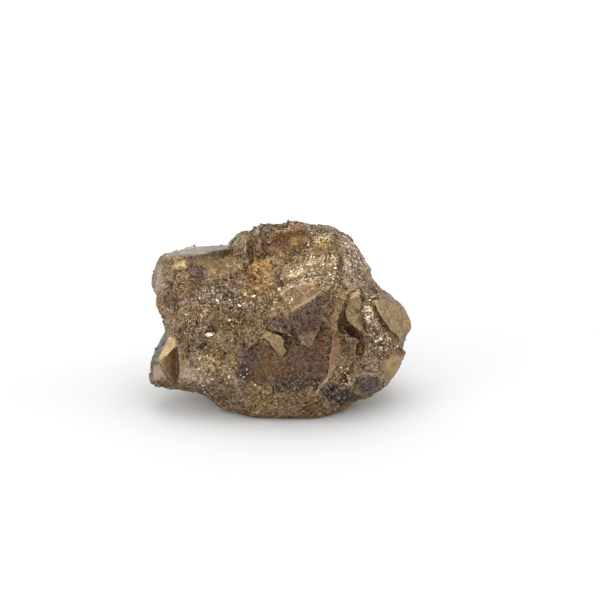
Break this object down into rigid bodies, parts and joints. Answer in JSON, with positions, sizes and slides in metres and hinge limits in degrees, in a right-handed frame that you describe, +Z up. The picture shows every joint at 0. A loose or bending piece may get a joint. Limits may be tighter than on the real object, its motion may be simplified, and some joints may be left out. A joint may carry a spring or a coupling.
{
  "type": "pyrite specimen",
  "caption": "Lump of massive pyrite with broken crystal faces, ledges, hollows and a sugary brassy-brown skin, resting on a small flat spot.",
  "frame": {"origin": "middle of the small flat spot under the lump, which it rests on", "axes": "+X along the lump's longest side, to the right seen from the front; +Y to the back; +Z up"},
  "size_m": [0.045, 0.0287, 0.0292],
  "materials": {
    "pyrite": "tarnished brassy-brown metallic mineral: sugary grain with small bright crystal faces, purple, olive and golden stains"
  },
  "bodies": {
    "root": {"pyrite_lump": "pyrite"}
  },
  "joints": []
}
